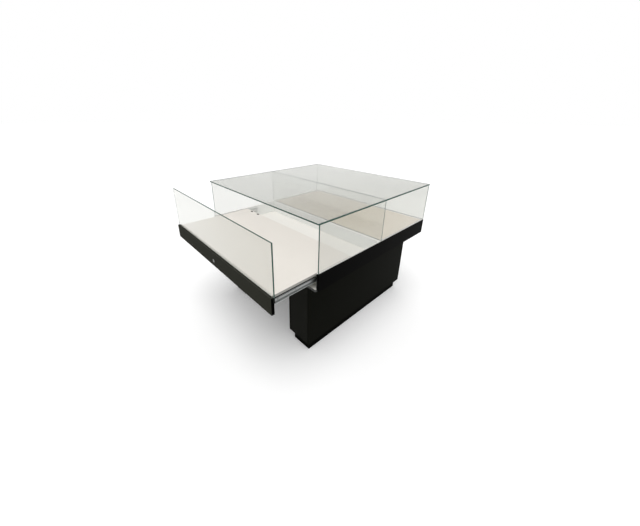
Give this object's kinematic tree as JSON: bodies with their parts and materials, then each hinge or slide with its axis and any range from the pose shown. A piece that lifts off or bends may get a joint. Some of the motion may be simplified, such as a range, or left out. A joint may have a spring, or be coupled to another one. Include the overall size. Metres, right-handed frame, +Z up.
{
  "type": "jewelry display case",
  "caption": "Island jewellery display case: an all-glass top on box legs, with a locking glazed deck that slides out at each end.",
  "frame": {"origin": "centre of the footprint of the case with its front drawer standing open, at ground level", "axes": "+X to the right along a drawer front, +Y from the open front drawer towards the rear drawer, +Z up"},
  "size_m": [1.228, 1.533, 0.973],
  "materials": {
    "black_laminate": "satin black laminate on board",
    "white_laminate": "matt warm white laminate on board",
    "clear_glass": "clear float glass with polished green edges",
    "slide_steel": "zinc-plated roll-formed steel",
    "clamp_aluminium": "satin anodised",
    "lock_chrome": "bright chrome plate",
    "grommet_plastic": "matt black moulded plastic"
  },
  "bodies": {
    "case": {"base_board": "black_laminate", "left_fascia": "black_laminate", "right_fascia": "black_laminate", "left_lining": "white_laminate", "right_lining": "white_laminate", "centre_beam": "white_laminate", "divider_glass": "clear_glass", "top_glass": "clear_glass", "left_glass": "clear_glass", "right_glass": "clear_glass", "left_leg_outer_panel": "black_laminate", "left_leg_inner_panel": "black_laminate", "left_leg_front_panel": "black_laminate", "left_leg_back_panel": "black_laminate", "left_leg_shelves": "black_laminate", "left_plinth": "black_laminate", "right_leg_outer_panel": "black_laminate", "right_leg_inner_panel": "black_laminate", "right_leg_front_panel": "black_laminate", "right_leg_back_panel": "black_laminate", "right_leg_shelves": "black_laminate", "right_plinth": "black_laminate", "lock_keepers": "slide_steel", "front_slide_screws": "slide_steel", "rear_slide_screws": "slide_steel", "front_left_outer_rail": "slide_steel", "front_right_outer_rail": "slide_steel", "rear_left_outer_rail": "slide_steel", "rear_right_outer_rail": "slide_steel"},
    "front_drawer": {"front_deck": "white_laminate", "front_fascia": "black_laminate", "front_glass": "clear_glass", "front_glass_clamp": "clamp_aluminium", "front_drawer_sides": "black_laminate", "front_drawer_rails": "black_laminate", "front_drawer_screws": "slide_steel", "front_lock_body": "lock_chrome", "front_left_inner_rail": "slide_steel", "front_right_inner_rail": "slide_steel", "front_cable_grommets": "grommet_plastic"},
    "front_outer_cages": {"front_outer_ball_cages": "slide_steel"},
    "front_lock": {"front_lock_plug": "lock_chrome", "front_lock_cam": "lock_chrome"},
    "rear_drawer": {"rear_deck": "white_laminate", "rear_fascia": "black_laminate", "rear_glass": "clear_glass", "rear_glass_clamp": "clamp_aluminium", "rear_drawer_sides": "black_laminate", "rear_drawer_rails": "black_laminate", "rear_drawer_screws": "slide_steel", "rear_lock_body": "lock_chrome", "rear_left_inner_rail": "slide_steel", "rear_right_inner_rail": "slide_steel"},
    "rear_outer_cages": {"rear_outer_ball_cages": "slide_steel"},
    "rear_lock": {"rear_lock_plug": "lock_chrome", "rear_lock_cam": "lock_chrome"}
  },
  "joints": [
    {"name": "front_drawer_slide", "type": "slide", "parent": "case", "child": "front_drawer", "axis": [0, -1, 0], "range_m": [-0.285, 0.015]},
    {"name": "front_outer_cage_slide", "type": "slide", "parent": "case", "child": "front_outer_cages", "axis": [0, -1, 0], "range_m": [-0.143, 0.008]},
    {"name": "front_lock_turn", "type": "hinge", "parent": "front_drawer", "child": "front_lock", "pos_m": [0, -0.7525, 0.623], "axis": [0, 1, 0], "range_deg": [0, 90]},
    {"name": "rear_drawer_slide", "type": "slide", "parent": "case", "child": "rear_drawer", "axis": [0, 1, 0], "range_m": [0, 0.3]},
    {"name": "rear_outer_cage_slide", "type": "slide", "parent": "case", "child": "rear_outer_cages", "axis": [0, 1, 0], "range_m": [0, 0.1505]},
    {"name": "rear_lock_turn", "type": "hinge", "parent": "rear_drawer", "child": "rear_lock", "pos_m": [0, 0.7525, 0.623], "axis": [0, -1, 0], "range_deg": [0, 90]}
  ],
  "couplings": [
    {"joint": "front_outer_cage_slide", "follows": "front_drawer_slide", "ratio": 0.5},
    {"joint": "rear_outer_cage_slide", "follows": "rear_drawer_slide", "ratio": 0.5}
  ]
}
